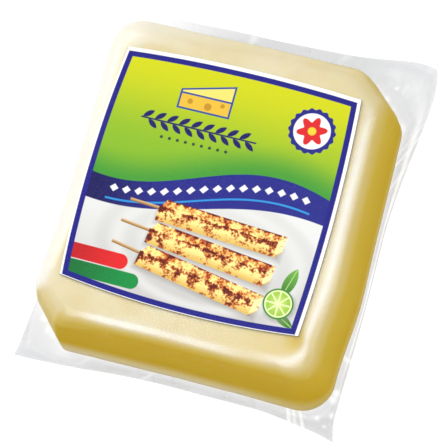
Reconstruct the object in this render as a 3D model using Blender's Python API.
"""A vacuum-packed block of coalho cheese: a clear sealed bag drawn tight round it, and a paper label on top.

Blender 4.5, in metres, +Z up. The pack lies on its flat base. X runs across the label and Y from its foot
to its head. The origin is on the worktop, under the middle of the pack's outline.
"""

import math
from typing import NamedTuple

import bmesh
import bpy
from mathutils import Matrix, Vector

MM = 0.001

# The cheese under the film: a moulded block whose sides lean in towards the top.
BLOCK_WIDTH = 92.4 * MM
BLOCK_LENGTH = 101.8 * MM
BLOCK_HEIGHT = 31.5 * MM
SIDE_LEAN = 4.9 * MM
SIDE_BULGE = 0.7 * MM
TOP_EDGE_RADIUS = 7.4 * MM
BASE_EDGE = 1.4 * MM

# The corners of its plan, at the base and round the flat top: how far each reaches along its sides, and how
# much of it is a straight cut, from none, at 0, to all, at 1.
CORNER_REACHES = {
    "head_right": (14.5 * MM, 9.6 * MM),
    "head_left": (10.5 * MM, 5.5 * MM),
    "foot_left": (12.2 * MM, 10.9 * MM),
    "foot_right": (9.8 * MM, 6.4 * MM),
}
CORNER_CUTS = {
    "head_right": (0.5, 0.3),
    "head_left": (0.0, 0.0),
    "foot_left": (0.75, 0.25),
    "foot_right": (0.0, 0.0),
}

# The block isn't quite true. Its plan swells and dips in slow waves round the sides: how many, how much,
# and where they start. Two corners are out of square: where each is, and how far it is pushed aside at the
# base and round the flat top.
UNEVEN_WAVES = ((3, 0.24 * MM, 2.1), (7, 0.10 * MM, 4.0))
CORNER_PUSHES = (
    (Vector((1, -1)), Vector((-1.3 * MM, -0.3 * MM)), Vector((-1.4 * MM, 1.6 * MM))),
    (Vector((-1, -1)), Vector((-1.4 * MM, 0.0)), Vector((-1.4 * MM, 0.0))),
)

# The flange, where both webs of film are sealed together round the base, and how far it stands past the
# block on each side.
FLANGE_THICKNESS = 0.55 * MM
FLANGE_CLEARANCE = 0.35 * MM
SIDE_MARGINS = {"right": 1.7 * MM, "head": 7.7 * MM, "left": 2.4 * MM, "foot": 2.6 * MM}


class FilmCorner(NamedTuple):
    """A corner of the film, with X and Y sizes in pairs: how far it stands past the block, how far its
    flare runs along the side that faces X and the side that faces Y, how high it curls off the worktop,
    how far its very tip is drawn out, or blunted where negative, and how near the tip that starts."""

    out: tuple
    reach: tuple
    curl: float
    tip: tuple
    tip_reach: float


FILM_CORNERS = {
    "head_right": FilmCorner(
        (6.7 * MM, 9.9 * MM), (56 * MM, 40 * MM), 3.0 * MM, (-1.5 * MM, -1.5 * MM), 12 * MM
    ),
    "head_left": FilmCorner(
        (3.8 * MM, 8.0 * MM), (24 * MM, 24 * MM), 1.8 * MM, (0.0, 0.0), 5 * MM
    ),
    "foot_left": FilmCorner(
        (4.1 * MM, 5.2 * MM), (32 * MM, 45 * MM), 1.6 * MM, (0.65 * MM, 0.0), 5 * MM
    ),
    "foot_right": FilmCorner(
        (0.6 * MM, 5.1 * MM), (44 * MM, 24 * MM), 2.2 * MM, (1.3 * MM, 1.3 * MM), 6 * MM
    ),
}
CURL_REACH = 28 * MM

# Over the block's foot the upper web bridges from the flange to the side, a little along the sides and far
# more round the corners. All of it is below the bridge top.
BRIDGE_ON_SIDES = 1.5 * MM
BRIDGE_AT_CORNERS = 4.2 * MM
BRIDGE_REACH = 24 * MM
BRIDGE_TOP = 6.0 * MM
RIPPLE_HEIGHT = 0.5 * MM
RIPPLES_PER_SIDE = {"right": 5, "head": 4, "left": 4, "foot": 5}

# The label, of coated paper, stuck on the top a little off centre and askew. It is square from corner to
# corner, and its sides bow out between them.
LABEL_WIDTH = 69.7 * MM
LABEL_LENGTH = 69.6 * MM
LABEL_BOWS = {"right": 1.3 * MM, "head": 1.4 * MM, "left": 1.8 * MM, "foot": 2.2 * MM}
LABEL_THICKNESS = 0.3 * MM
LABEL_CORNER_RADIUS = 0.6 * MM
LABEL_OFFSET = Vector((-0.95 * MM, 1.6 * MM))
LABEL_TURN = math.radians(-0.5)
CONTACT_GAP = 0.3 * MM

# How finely the outlines and the section are stepped.
STRAIGHT_STEPS = 26
HALF_ARC_STEPS = 4
SIDE_RINGS = 4
TOP_ARC_RINGS = 7
FLANGE_RINGS = 3
BRIDGE_RINGS = 4
LABEL_STEPS = 16

# The four sides in turn, anticlockwise: the side's name, the way it faces, and the corners it runs between.
SIDES = (
    ("right", Vector((1, 0)), "foot_right", "head_right"),
    ("head", Vector((0, 1)), "head_right", "head_left"),
    ("left", Vector((-1, 0)), "head_left", "foot_left"),
    ("foot", Vector((0, -1)), "foot_left", "foot_right"),
)
HALF_SIZES = Vector((BLOCK_WIDTH / 2, BLOCK_LENGTH / 2))
RIM_INSET = SIDE_LEAN + TOP_EDGE_RADIUS


def clear_scene():
    for obj in list(bpy.data.objects):
        bpy.data.objects.remove(obj, do_unlink=True)


def plain_material(name, colour, roughness):
    material = bpy.data.materials.new(name)
    material.use_nodes = True
    shader = material.node_tree.nodes["Principled BSDF"]
    shader.inputs["Base Color"].default_value = (*colour, 1.0)
    shader.inputs["Roughness"].default_value = roughness
    shader.inputs["Metallic"].default_value = 0.0
    return material


def closed_piece(name, mesh, material, smooth_angle):
    """An object from a finished bmesh, shaded smooth where its faces meet at less than the angle."""
    bmesh.ops.recalc_face_normals(mesh, faces=mesh.faces)
    data = bpy.data.meshes.new(name)
    mesh.to_mesh(data)
    mesh.free()
    data.materials.append(material)
    data.shade_smooth()
    data.set_sharp_from_angle(angle=smooth_angle)
    piece = bpy.data.objects.new(name, data)
    bpy.context.scene.collection.objects.link(piece)
    return piece


def ease(share):
    """1 at share 0, falling smoothly to 0 at share 1 and beyond."""
    share = min(max(share, 0.0), 1.0)
    return 1.0 - share * share * (3.0 - 2.0 * share)


def sideways(facing):
    return Vector((-facing.y, facing.x))


def corner_point(corner, inset, turn, facing, along):
    """A point of a corner's curve, measured from its square tip. The curve runs from the side that faces this
    way, at 0, to the corner's middle, at 45 degrees. An arc leads from the side into the straight cut, which
    runs on to the middle."""
    share = inset / RIM_INSET
    reach = CORNER_REACHES[corner][0] * (1 - share) + CORNER_REACHES[corner][1] * share
    cut = CORNER_CUTS[corner][0] * (1 - share) + CORNER_CUTS[corner][1] * share
    radius = reach * (1 - cut)
    tangent = radius * math.tan(math.radians(22.5))
    arc_length = radius * math.radians(45)
    run = turn / math.radians(45) * (arc_length + (reach - tangent) / math.sqrt(2) - tangent)
    bend = min(run / radius, math.radians(45))
    arc = (reach - radius * math.sin(bend)) * along - radius * (1 - math.cos(bend)) * facing
    return arc - max(run - arc_length, 0.0) / math.sqrt(2) * (along + facing)


def uneven(point, inset):
    """A point of the plan, moved by the waves and by the pushes on the corners that are out of square."""
    bearing = math.atan2(point.y, point.x)
    swell = sum(size * math.sin(count * bearing + phase) for count, size, phase in UNEVEN_WAVES)
    moved = point + point.normalized() * swell
    half = HALF_SIZES - Vector((inset, inset))
    for corner, at_base, at_top in CORNER_PUSHES:
        nearness = (1 + corner.x * point.x / half.x) * (1 + corner.y * point.y / half.y) / 4
        moved += at_base.lerp(at_top, inset / RIM_INSET) * (1 - ease((nearness - 0.66) / 0.24))
    return moved


def block_outline(inset):
    """The block's rounded plan, drawn in from its base size, from halfway round the first side's corner."""
    half = HALF_SIZES - Vector((inset, inset))
    points = []
    for _, facing, start, end in SIDES:
        along = sideways(facing)
        first = facing * abs(facing.dot(half)) - along * abs(along.dot(half))
        last = facing * abs(facing.dot(half)) + along * abs(along.dot(half))
        for step in range(HALF_ARC_STEPS):
            turn = math.radians(45) * (1 - step / HALF_ARC_STEPS)
            points.append(first + corner_point(start, inset, turn, facing, along))
        straight_start = first + corner_point(start, inset, 0.0, facing, along)
        straight_end = last + corner_point(end, inset, 0.0, facing, -along)
        for step in range(STRAIGHT_STEPS + 1):
            points.append(straight_start.lerp(straight_end, step / STRAIGHT_STEPS))
        for step in range(1, HALF_ARC_STEPS):
            turn = math.radians(45) * step / HALF_ARC_STEPS
            points.append(last + corner_point(end, inset, turn, facing, -along))
    return [uneven(point, inset) for point in points]


def film_edge():
    """The film's cut edge as (point, height, bridge), with as many points as the block's outline. Each side
    is drawn in between its corners, and the corners flare out and curl up."""
    edge = []
    steps = STRAIGHT_STEPS + 2 * HALF_ARC_STEPS
    for name, facing, start, end in SIDES:
        along = sideways(facing)
        across = 0 if facing.x else 1
        margin = SIDE_MARGINS[name]
        first = FILM_CORNERS[start]
        last = FILM_CORNERS[end]
        first_tip = facing * first.tip[across] - along * first.tip[1 - across]
        last_tip = facing * last.tip[across] + along * last.tip[1 - across]
        low = -abs(along.dot(HALF_SIZES)) - first.out[1 - across]
        high = abs(along.dot(HALF_SIZES)) + last.out[1 - across]
        for step in range(steps):
            place = low + (high - low) * step / steps
            near_first = ease((place - low) / first.reach[across])
            near_last = ease((high - place) / last.reach[across])
            out = margin + (first.out[across] - margin) * near_first + (last.out[across] - margin) * near_last
            curl = first.curl * ease((place - low) / CURL_REACH) ** 2
            curl += last.curl * ease((high - place) / CURL_REACH) ** 2
            ripple = 0.5 - 0.5 * math.cos(2 * math.pi * RIPPLES_PER_SIDE[name] * step / steps)
            point = facing * (abs(facing.dot(HALF_SIZES)) + out) + along * place
            point += first_tip * max(1 - (place - low) / first.tip_reach, 0.0) ** 2
            point += last_tip * max(1 - (high - place) / last.tip_reach, 0.0) ** 2
            cornering = ease((place - low) / BRIDGE_REACH) + ease((high - place) / BRIDGE_REACH)
            bridge = BRIDGE_ON_SIDES + (BRIDGE_AT_CORNERS - BRIDGE_ON_SIDES) * cornering
            edge.append((point, curl + RIPPLE_HEIGHT * ripple, bridge))
    return edge


def side_inset(height):
    """How far in the side is at a height above the base: it leans in, and bulges a little on the way."""
    share = height / BLOCK_HEIGHT
    return SIDE_LEAN * share - SIDE_BULGE * math.sin(math.pi * share)


def level_ring(inset, height):
    return [Vector((point.x, point.y, height)) for point in block_outline(inset)]


def side_slope(height):
    """The side's lean from upright at this height, as an angle."""
    bulging = SIDE_BULGE * math.pi * math.cos(math.pi * height / BLOCK_HEIGHT)
    return math.atan((SIDE_LEAN - bulging) / BLOCK_HEIGHT)


def flange_ring(shares, rise):
    """A ring of the flange, each point its own share of the way from the block's foot to the cut edge."""
    ring = []
    for inner, (outer, height, _), share in zip(block_outline(0.0), film_edge(), shares):
        place = inner.lerp(outer, share)
        ring.append(Vector((place.x, place.y, FLANGE_CLEARANCE + height * share**2 + rise)))
    return ring


def bridge_rings(lowest):
    """The rings from the flange's inner ring to the side, each point on a curve round the block's foot."""
    feet = level_ring(0.0, FLANGE_CLEARANCE + FLANGE_THICKNESS)
    tops = level_ring(side_inset(BRIDGE_TOP), BRIDGE_TOP)
    rings = []
    for step in range(1, BRIDGE_RINGS):
        share = step / BRIDGE_RINGS
        ring = []
        for low, foot, top, (_, _, bridge) in zip(lowest, feet, tops, film_edge()):
            wall = foot.lerp(top, bridge / BRIDGE_TOP)
            ring.append(low.lerp(foot, share).lerp(foot.lerp(wall, share), share))
        rings.append(ring)
    return rings


def bag_rings():
    """Every ring of the bag's skin, from the base out round the flange and up to the top."""
    film = film_edge()
    rings = [level_ring(BASE_EDGE, 0.0)]
    for step in range(FLANGE_RINGS + 1):
        rings.append(flange_ring([step / FLANGE_RINGS] * len(film), 0.0))
    reaches = [(outer - inner).length for inner, (outer, _, _) in zip(block_outline(0.0), film)]
    starts = [min(0.55, bridge / reach) for reach, (_, _, bridge) in zip(reaches, film)]
    for step in range(FLANGE_RINGS + 1):
        shares = [1 - (1 - start) * step / FLANGE_RINGS for start in starts]
        rings.append(flange_ring(shares, FLANGE_THICKNESS))
    rings += bridge_rings(rings[-1])
    shoulder = BLOCK_HEIGHT - TOP_EDGE_RADIUS
    lean = side_slope(shoulder)
    arc_start = BLOCK_HEIGHT - TOP_EDGE_RADIUS * (1 - math.sin(lean))
    for step in range(SIDE_RINGS):
        height = BRIDGE_TOP + (arc_start - BRIDGE_TOP) * step / SIDE_RINGS
        rings.append(level_ring(side_inset(height), height))
    upright = side_inset(arc_start) - TOP_EDGE_RADIUS * (1 - math.cos(lean))
    for step in range(TOP_ARC_RINGS + 1):
        turn = lean + (math.radians(90) - lean) * step / TOP_ARC_RINGS
        drawn_in = TOP_EDGE_RADIUS * (1 - math.cos(turn))
        rings.append(level_ring(upright + drawn_in, shoulder + TOP_EDGE_RADIUS * math.sin(turn)))
    return rings


def skin_of(rings):
    """A closed skin through the rings, with the first and the last one filled."""
    mesh = bmesh.new()
    loops = [[mesh.verts.new(point) for point in ring] for ring in rings]
    mesh.faces.new(loops[0])
    mesh.faces.new(loops[-1])
    for lower, upper in zip(loops, loops[1:]):
        for here in range(len(lower)):
            after = (here + 1) % len(lower)
            mesh.faces.new((lower[here], lower[after], upper[after], upper[here]))
    return mesh


def outline_centre():
    """The middle of the film's outline, which the whole pack is moved by to centre it on the origin."""
    points = [point for point, _, _ in film_edge()]
    across = [point.x for point in points]
    along = [point.y for point in points]
    return Vector(((min(across) + max(across)) / 2, (min(along) + max(along)) / 2))


def vacuum_bag():
    mesh = skin_of(bag_rings())
    bmesh.ops.translate(mesh, vec=-outline_centre().to_3d(), verts=mesh.verts)
    cheese_in_film = plain_material("cheese_in_film", (0.82, 0.70, 0.43), 0.35)
    return closed_piece("vacuum_bag", mesh, cheese_in_film, math.radians(50))


def label_outline():
    """The label's outline about its own middle. Each side starts at a corner and bows out on its way."""
    half = Vector((LABEL_WIDTH / 2, LABEL_LENGTH / 2))
    points = []
    for name, facing, _, _ in SIDES:
        reach = sideways(facing) * abs(sideways(facing).dot(half))
        for step in range(LABEL_STEPS):
            place = 2 * step / LABEL_STEPS - 1
            out = abs(facing.dot(half)) + LABEL_BOWS[name] * (1 - place**2)
            points.append(facing * out + reach * place)
    return points


def label():
    mesh = bmesh.new()
    outline = [mesh.verts.new(point.to_3d()) for point in label_outline()]
    mesh.faces.new(outline)
    corners = outline[::LABEL_STEPS]
    bmesh.ops.bevel(
        mesh, geom=corners, offset=LABEL_CORNER_RADIUS, segments=3, profile=0.5, affect="VERTICES",
        material=-1,
    )
    top = bmesh.ops.extrude_face_region(mesh, geom=mesh.faces[:])["geom"]
    raised = [element for element in top if isinstance(element, bmesh.types.BMVert)]
    bmesh.ops.translate(mesh, vec=(0, 0, LABEL_THICKNESS), verts=raised)
    bmesh.ops.rotate(mesh, matrix=Matrix.Rotation(LABEL_TURN, 3, "Z"), verts=mesh.verts)
    place = (LABEL_OFFSET - outline_centre()).to_3d() + Vector((0, 0, BLOCK_HEIGHT + CONTACT_GAP))
    bmesh.ops.translate(mesh, vec=place, verts=mesh.verts)
    coated_paper = plain_material("coated_paper", (0.40, 0.55, 0.10), 0.3)
    return closed_piece("label", mesh, coated_paper, math.radians(30))


clear_scene()
vacuum_bag()
label()
